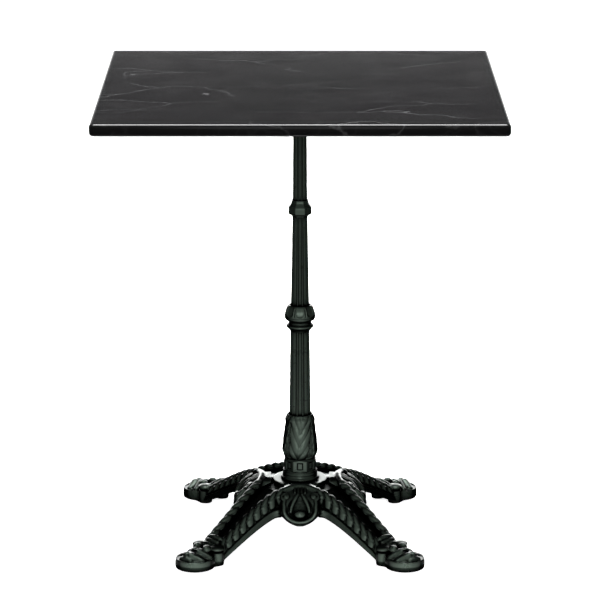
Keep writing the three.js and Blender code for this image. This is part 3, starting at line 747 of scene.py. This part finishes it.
class Block:
    """Samples over one quarter of the base."""

    def __init__(self, step):
        self.step = step
        self.size = [
            math.ceil((FOOT_X + FOOT_RADIUS + 3) / step),
            math.ceil((FOOT_Y + FOOT_RADIUS + 3) / step),
            math.ceil((RIM_TOP + 4) / step),
        ]
        self.axes = [
            (np.arange(self.size[0], dtype=np.float32) + 0.5) * step,
            (np.arange(self.size[1], dtype=np.float32) + 0.5) * step,
            (np.arange(self.size[2], dtype=np.float32) - 1) * step,
        ]
        self.values = np.full(self.size, 20.0, np.float32)

    def places(self, lowest=None, highest=None):
        """The slices and the open coordinate grids of a box of samples."""
        slices = []
        for axis, values in enumerate(self.axes):
            start = 0 if lowest is None else np.searchsorted(values, lowest[axis])
            end = len(values) if highest is None else np.searchsorted(values, highest[axis])
            slices.append(slice(int(start), int(end)))
        parts = [values[part] for values, part in zip(self.axes, slices)]
        return tuple(slices), (
            parts[0][:, None, None],
            parts[1][None, :, None],
            parts[2][None, None, :],
        )

    def add(self, shape, lowest=None, highest=None, fillet=1.0):
        """Fuses a shape into the iron. The fillet is a size, or a function that gives it by place."""
        slices, place = self.places(lowest, highest)
        size = fillet(place) if callable(fillet) else fillet
        self.values[slices] = fuse(self.values[slices], shape(place), size)

    def remove(self, shape):
        """Carves a shape out of the iron."""
        slices, place = self.places()
        self.values[slices] = carve(self.values[slices], shape(place))

    def surface(self):
        """Points and faces of the whole base."""
        whole = self.values
        whole = np.concatenate([whole[::-1], whole], axis=0)
        whole = np.concatenate([whole[:, ::-1], whole], axis=1)
        limit = 3 * self.step
        grid = openvdb.FloatGrid(limit)
        grid.copyFromArray(np.clip(whole, -limit, limit), tolerance=0.0)
        points, quads = grid.convertToQuads(isovalue=0)
        middle = np.array([self.size[0] - 0.5, self.size[1] - 0.5, 1])
        return (points - middle) * self.step, quads


def rim_height(along):
    """Height of the beads' tops, by distance outward along a leg."""
    past = along - SHOULDER
    return RIM_TOP - LEG_FALL * (past + np.hypot(SHOULDER_EASE, past)) / 2


def apron_place(x, y, leg_across, leg_out):
    """Where each plan point lies against an apron's bead: outward, along the run, and reach.

    x runs across the arch and y outward. The run starts in the middle of the arch, and the reach
    is the distance from the column's axis along the leg.
    """
    slope = leg_out / leg_across
    spread = BEAD_OFFSET * math.hypot(1, slope)
    nose = ARCH_RADIUS - spread
    across = np.arange(-30, leg_across * LEG_END / FOOT_REACH, 0.8, dtype=np.float32)
    bow = np.hypot(nose, slope * across)
    outward = spread + bow
    steps = np.hypot(np.diff(across), np.diff(outward))
    run = np.concatenate([[0], np.cumsum(steps)])
    run = run - np.interp(0, across, run)
    reach = (np.abs(across) * leg_across + outward * leg_out) / FOOT_REACH
    tangent_x = np.gradient(across, run)
    tangent_y = np.gradient(outward, run)
    gap = (x[:, :, None] - across) ** 2 + (y[:, :, None] - outward) ** 2
    nearest = gap.argmin(axis=2)
    aside_x = x - across[nearest]
    aside_y = y - outward[nearest]
    ahead = aside_x * tangent_x[nearest] + aside_y * tangent_y[nearest]
    offset = -aside_x * tangent_y[nearest] + aside_y * tangent_x[nearest]
    past_end = np.where(nearest == len(across) - 1, ahead, -LEG_END)
    reach_rate = np.gradient(reach, run)[nearest]
    return offset, run[nearest] + ahead, reach[nearest] + ahead * reach_rate, past_end


def apron(x, y, z, leg_across, leg_out):
    """One side of the base: rope bead, row of gadroons, groove and plain skirt."""
    plan_x, plan_y = np.broadcast_arrays(x[:, :, 0], y[:, :, 0])
    plan = apron_place(plan_x, plan_y, leg_across, leg_out)
    offset, run, reach, past_end = [value[:, :, None].astype(np.float32) for value in plan]
    rise = z - (rim_height(reach) - BEAD_RADIUS)
    taper = 1 - APRON_TAPER * np.maximum(0, reach - APRON_TAPER_START) / APRON_HEIGHT
    depth = -rise / taper

    turn = np.arctan2(rise, offset)
    lobe = np.abs(np.sin(math.pi * (run / LOBE_PITCH + 1.1 * turn / math.pi)))
    plain = 1 - ease(np.abs(run), 24, 36)
    rope = 1 - 0.6 * (1 - plain) * (1 - np.sqrt(lobe))
    bead = np.hypot(offset, rise) - (BEAD_RADIUS + 1.4 * (1 - plain)) * rope

    across = (run / LOBE_PITCH) % 1.0 * 2 - 1
    rounding = np.maximum(0, (depth - 12.5) / 5.5)
    crown = np.sqrt(np.clip(1 - (across / 0.94) ** 2 - rounding**2, 0, 1))
    crown = crown * ease(np.abs(run), 30, 36)
    gadroon = np.interp(depth, [-2, 2, 18], [3.0, 4.6, 7.4]) + 4.2 * crown
    skirt = np.interp(depth, [20.0, 21.0, 33.5, 35.5], [8.0, 11.0, 12.9, 12.2])
    face = np.where(depth > 20.0, skirt, gadroon)
    inner = np.interp(depth, [0, 6, 35.5], [-4.5, -1, 6])
    foot_line = (APRON_HEIGHT - BEAD_RADIUS) * taper
    wall = overlap((offset - face) * 0.95, inner - offset, rise, -rise - foot_line)
    return overlap(fuse(bead, wall, 1.0), past_end)


def sideways_apron(x, y, z):
    """The apron of a side arch."""
    shape = apron(np.swapaxes(y, 0, 1), np.swapaxes(x, 0, 1), z, FOOT_Y, FOOT_X)
    return np.swapaxes(shape, 0, 1)


def leg_place(place):
    """Coordinates in a leg's own frame: along it from the foot's middle, across it, and up."""
    x, y, z = place
    ahead = (x * FOOT_X + y * FOOT_Y) / FOOT_REACH - FOOT_REACH
    aside = (-x * FOOT_Y + y * FOOT_X) / FOOT_REACH
    return ahead, aside, z


def channel(place):
    """The sunken plate between a leg's two beads."""
    ahead, aside, z = leg_place(place)
    along = ahead + FOOT_REACH
    top = rim_height(along) - CHANNEL_DEPTH
    half_width = BEAD_OFFSET + CHANNEL_LAP + CHANNEL_SPREAD / np.maximum(along, DISC_RADIUS)
    ends = overlap(DISC_RADIUS - 4 - along, along - LEG_END)
    return overlap(np.abs(aside) - half_width, z - top, top - CHANNEL_PLATE - z, ends)


def hub(place):
    """The sunken hub plate, its raised disc and the boss below."""
    x, y, z = place
    radius = np.hypot(x, y)
    plate = overlap(radius - HUB_RADIUS, z - HUB_FLOOR, HUB_FLOOR - HUB_PLATE - z)
    disc_edge = DISC_RADIUS - 0.8 * np.exp(-(((z - DISC_TOP + 4.2) / 0.9) ** 2))
    disc = overlap(radius - disc_edge, z - DISC_TOP, HUB_FLOOR - HUB_PLATE - z)
    boss = overlap(radius - BASE_BOSS_RADIUS, z - HUB_FLOOR, HUB_FLOOR - 16 - z)
    return fuse(fuse(plate, disc, 2.0), boss, 2.0)


def toe(local, ahead, start, end):
    """One lobe that runs down a paw's side, from its height near the crest to its height at the rim."""
    return finger(local, (ahead + 3, 4, start), (ahead - 3, 19.5, end), 7.6, 6.2)


def foot(place):
    """A paw: a round pad, toes lapped over it from both sides and two capped knuckles at its heel."""
    ahead, aside, z = leg_place(place)
    side = np.abs(aside)
    local = (ahead, side, z)
    radius = np.hypot(ahead, aside)
    wall_top = 18
    wall = radius - (FOOT_RADIUS - 0.9 * ((z - 9) / 9) ** 2)
    shape = -fuse(-overlap(wall, z - wall_top), -(BASE_BOTTOM - z), 1.5)
    shape = carve(shape, np.hypot(radius - 25.4, z - wall_top - 0.6) - 2.2, 0.8)
    shape = fuse(shape, egg(local, (-3, 0, wall_top - 2), (20, 18, 11)), 0.6)
    shape = fuse(shape, toe(local, 8.5, 21, 15.5), 1.2)
    shape = fuse(shape, toe(local, -7.5, 23.5, 17), 1.2)
    shape = fuse(shape, finger(local, (17.5, 0, 18.5), (19, 8.5, 17), 5.6, 4.6), 1.2)
    shape = fuse(shape, egg(local, (-15.5, 9.5, 28.0), (7.6, 7.2, 6.4)), 0.5)
    knuckle_radius = np.hypot(ahead + 29, side - 17.5)
    barrel = 11.2 - 0.9 * ((z - 12) / 11) ** 2
    shape = fuse(shape, overlap(knuckle_radius - barrel, z - 23, BASE_BOTTOM - z), 0.8)
    cap = (np.hypot(knuckle_radius / 11.8, (z - 28) / 4.4) - 1) * 4.4
    shape = fuse(shape, cap, 0.4)
    for number in range(3):
        start = 6 * number - 44
        height = 38.5 - 4 * number
        band = [(start, 0, height), (start - 0.5, 10, height - 1.5)]
        shape = fuse(shape, cord(local, band, 3.6), 0.5)
    saddle_top = np.interp(ahead, [-46, -10], [37, 24])
    saddle = overlap(side - 11, z - saddle_top, saddle_top - 14 - z, -46 - ahead, ahead + 8)
    return fuse(shape, saddle, 1.0)


def curve_points(controls, count):
    """Points along a cubic curve."""
    share = np.linspace(0, 1, count)[:, None]
    first, second, third, fourth = [np.array(control, float) for control in controls]
    return (
        (1 - share) ** 3 * first
        + 3 * share * (1 - share) ** 2 * second
        + 3 * share**2 * (1 - share) * third
        + share**3 * fourth
    )


def along_profile(reach, height, profile):
    """Where a point lies against a profile: distance up along it, and distance out from it."""
    best = None
    up_start = 0.0
    last = len(profile) - 2
    for number, (start, end) in enumerate(zip(profile[:-1], profile[1:])):
        run = end - start
        length = np.hypot(*run)
        ahead = ((reach - start[0]) * run[0] + (height - start[1]) * run[1]) / length
        aside = ((reach - start[0]) * run[1] - (height - start[1]) * run[0]) / length
        kept = np.clip(ahead, -1e9 if number == 0 else 0, 1e9 if number == last else length)
        gap = np.hypot(aside, ahead - kept)
        out = np.where(aside < 0, -gap, gap)
        up = up_start + kept
        if best is None:
            best, off, along = gap, out, up
        else:
            nearer = gap < best
            best = np.where(nearer, gap, best)
            off = np.where(nearer, out, off)
            along = np.where(nearer, up, along)
        up_start += length
    return along, off


def arc_points(centre, radii, angles, lift):
    """Points on an elliptical arc in a pendant's face, angles in degrees from its right side."""
    return [
        (
            centre[0] + radii[0] * math.cos(math.radians(angle)),
            centre[1] + radii[1] * math.sin(math.radians(angle)),
            lift,
        )
        for angle in angles
    ]


def spiral_points(centre, start_radius, end_radius, start, turns, lift):
    """Points on a spiral that winds in towards its centre."""
    count = 14
    points = []
    for i in range(count + 1):
        share = i / count
        angle = math.radians(start + 360 * turns * share)
        radius = start_radius + (end_radius - start_radius) * share
        points.append((centre[0] + radius * math.cos(angle), centre[1] + radius * math.sin(angle), lift))
    return points


def shield_width(height):
    """Half the width of a pendant's outline at each height."""
    return np.interp(
        height - PENDANT_TIP,
        [0, 0.6, 2, 5.2, 9.8, 14.8, 21, 37, 44, 50, 54],
        [0, 4.5, 8, 14.5, 21, 26, 29.3, 30, 28.5, 24, 14],
    )


def pendant(place):
    """A shield that bulges out in an arch: a U of cord with volutes, round an egg and two leaves.

    Four short flutes crown it.
    The place is across the arch, outward and up. On the face, q runs up from the tip and n out.
    """
    across, outward, z = place
    p = np.abs(across)
    profile = curve_points(
        [
            (PENDANT_REACH, PENDANT_TIP),
            (PENDANT_REACH + 8, PENDANT_TIP + 21),
            (PENDANT_REACH - 8, PENDANT_TOP - 14),
            (ARCH_RADIUS + 2, PENDANT_TOP),
        ],
        14,
    )
    q, n = along_profile(outward, z, profile)
    edge = (p - shield_width(z)) * 0.8
    edge = np.maximum(edge, (PENDANT_TIP - z) * 0.7)
    plate = overlap(edge, n, -PENDANT_PLATE - n, z - PENDANT_TOP - 1)
    rounded = np.hypot(np.maximum(edge + 5, 0), np.maximum(n + 5, 0)) - 5
    shape = np.maximum(plate, rounded)
    local = (p, q, n)
    dish = egg(local, (0, 27, 0.5), (20, 25, 8.5))
    shape = carve(shape, dish, 1.5)
    rim = [(23.5, 46, 0.2), (24.8, 38, 0.4)]
    rim += arc_points((0, 29), (24.5, 20), range(10, -91, -10), 0.2)
    shape = fuse(shape, cord(local, rim, 3.0), 1.5)
    shape = fuse(shape, cord(local, spiral_points((22, 51), 6.8, 2.2, -60, 1.0, 1.2), 2.5), 0.6)
    shape = fuse(shape, egg(local, (22, 51, 1.0), (3.4, 3.4, 3.6)), 0.5)
    shape = fuse(shape, egg(local, (0, 21.5, -3.0), (9.8, 7.2, 7.2)), 0.8)
    leaf = [(3.4, 55, 0.8), (6.5, 49, 0.6), (10.5, 41, -1.2), (13.5, 33, -3.2), (14.5, 26, -4.6)]
    shape = fuse(shape, cord(local, leaf, 3.0), 0.8)
    top = np.hypot(*np.diff(profile, axis=0).T).sum()
    for middle in (2.6, 7.8):
        flute = finger(local, (middle, top - 14, 0.8), (middle, top - 4, 0.4), 2.3, 2.3)
        shape = fuse(shape, flute, 0.4)
    return shape


def pendant_fillet(place):
    """The fillet round a pendant: wide along the skirts' lower edges and small above them."""
    widest = 14
    smallest = 1.5
    return smallest + (widest - smallest) * (1 - ease(place[2], 60, 78))


def turned_side(place):
    """The same place as a side arch sees it, with across and outward exchanged."""
    return place[1], place[0], place[2]


def openings(place):
    """The bores for the tie rod, the collar and a glide, and the recess under the foot."""
    x, y, z = place
    radius = np.hypot(x, y)
    rod = radius - ROD_BORE
    register = overlap(radius - REGISTER_RADIUS - SHAFT_GAP, DISC_TOP - SPIGOT_LENGTH - SHAFT_GAP - z)
    from_glide = np.hypot(x - FOOT_X, y - FOOT_Y)
    pocket = overlap(from_glide - GLIDE_POCKET_RADIUS, z - GLIDE_POCKET_TOP)
    bore = overlap(from_glide - GLIDE_BORE_RADIUS, z - GLIDE_BORE_TOP)
    return np.minimum.reduce(np.broadcast_arrays(rod, register, pocket, bore))


def base_casting():
    """The whole base as one casting."""
    block = Block(CASTING_STEP)
    block.add(lambda place: apron(*place, FOOT_X, FOOT_Y))
    block.add(lambda place: sideways_apron(*place))
    block.add(channel)
    block.add(hub, (-1, -1, 50), (HUB_RADIUS + 3, HUB_RADIUS + 3, DISC_TOP + 3), 1.5)
    front = ((-1, 45, 30), (45, 115, 110))
    side = ((45, -1, 30), (115, 45, 110))
    block.add(pendant, *front, pendant_fillet)
    block.add(lambda place: pendant(turned_side(place)), *side, pendant_fillet)
    block.add(
        foot,
        lowest=(FOOT_X - 60, FOOT_Y - 60, -5),
        highest=(FOOT_X + 40, FOOT_Y + 40, 50),
        fillet=1.2,
    )
    block.remove(openings)
    block.remove(lambda place: place[2] - BASE_BOTTOM)
    points, quads = block.surface()
    return make_piece("ornamented_base", points, quads, IRON, ["base_casting"], crease=60)


# ---- Hidden hardware ---------------------------------------------------------------------


def finish_hardware():
    """Gives the CAD nodes that stay shown their materials."""
    finishes = {"screw": STEEL, "washer": STEEL, "nut": STEEL, "rod": STEEL, "stem": STEEL,
                "insert": BRASS, "pad": NYLON, "spider": IRON}
    for name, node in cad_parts.items():
        if node.hide_render:
            continue
        finish = finishes[name.split("_")[-1]]
        node.data.materials.clear()
        node.data.materials.append(finish)


# ---- Stage -------------------------------------------------------------------------------


def white_floor():
    """A large pale floor."""
    half = 30.0
    mesh = bpy.data.meshes.new("floor")
    mesh.from_pydata(
        [(-half, -half, 0), (half, -half, 0), (half, half, 0), (-half, half, 0)], [], [(0, 1, 2, 3)]
    )
    material, tree, place, shader = new_material("floor_paper")
    seen = add_node(tree, "ShaderNodeLightPath").outputs["Is Camera Ray"]
    floor_glow = add_node(tree, "ShaderNodeMapRange", Value=seen)
    set_inputs(tree, floor_glow, {"To Min": 0.004, "To Max": 0.85})
    paper = ramp(tree, noise(tree, place, 2.0), [(0.3, 0.93), (0.7, 0.95)])
    set_inputs(tree, shader, {
        "Base Color": mixed(tree, seen, (0.003, 0.003, 0.003, 1), paper),
        "Roughness": 0.9,
        "Specular IOR Level": 0.0,
        "Emission Color": (1, 1, 1, 1),
        "Emission Strength": floor_glow.outputs["Result"],
    })
    mesh.materials.append(material)
    floor = bpy.data.objects.new("floor", mesh)
    bpy.context.scene.collection.objects.link(floor)


def soft_light(name, place, target, size, power, shines=True, fills=True):
    """A soft box that points at a target. It leaves highlights if it shines, and shades if it fills."""
    lamp = bpy.data.lights.new(name, "AREA")
    lamp.shape = "RECTANGLE"
    lamp.size, lamp.size_y = size
    lamp.energy = power
    light = bpy.data.objects.new(name, lamp)
    light.location = place
    away = light.location - type(light.location)(target)
    light.rotation_euler = away.to_track_quat("Z", "Y").to_euler()
    light.visible_camera = False
    light.visible_glossy = shines
    light.visible_diffuse = fills
    bpy.context.scene.collection.objects.link(light)


def studio():
    """White surroundings, with soft boxes all round the table, above it and just over the floor."""
    world = bpy.data.worlds.new("studio")
    world.use_nodes = True
    tree = world.node_tree
    seen = add_node(tree, "ShaderNodeLightPath").outputs["Is Camera Ray"]
    strength = add_node(tree, "ShaderNodeMapRange", Value=seen)
    set_inputs(tree, strength, {"To Min": 0.004, "To Max": 1.0})
    set_inputs(tree, tree.nodes["Background"], {
        "Color": (1, 1, 1, 1),
        "Strength": strength.outputs["Result"],
    })
    bpy.context.scene.world = world
    middle = (0, 0, 0.3)
    soft_light("front", (0, -3.6, 1.2), middle, (2.0, 1.6), 70, shines=False)
    soft_light("sheen", (0, -3.4, 1.1), middle, (0.9, 1.6), 40)
    soft_light("back", (0, 3.2, 0.56), middle, (3.6, 1.1), 90, fills=False)
    soft_light("bounce", (0, -0.42, 0.01), (0, -0.42, 1), (1.4, 0.55), 7)
    for side in (-1, 1):
        soft_light(f"side_{side}", (3.2 * side, 0, 0.9), middle, (1.2, 1.2), 50, shines=False)
    soft_light("above", (0, 0.1, 2.6), middle, (1.6, 1.6), 330)
    bpy.context.scene.view_settings.view_transform = "Standard"


def camera():
    """A long lens in front of the table and above it, looking down on it."""
    distance = 4.764
    height = 1.6126
    downward = 14.58
    lens = bpy.data.cameras.new("camera")
    lens.lens = 192.55
    lens.sensor_width = 36
    viewer = bpy.data.objects.new("camera", lens)
    viewer.location = (0, -distance, height)
    viewer.rotation_euler = (math.radians(90 - downward), 0, 0)
    bpy.context.scene.collection.objects.link(viewer)
    bpy.context.scene.camera = viewer


# ---- Assembly ----------------------------------------------------------------------------

table_top()
shaft("upper_shaft", 11.3, 10.3, True, False)
neck_ring()
shaft("middle_shaft", 14.5, 11.7, True, True)
knop()
shaft("lower_shaft", 17.4, 15.2, True, True)
leaf_socket()
foot_collar()
base_casting()
finish_hardware()
white_floor()
studio()
camera()
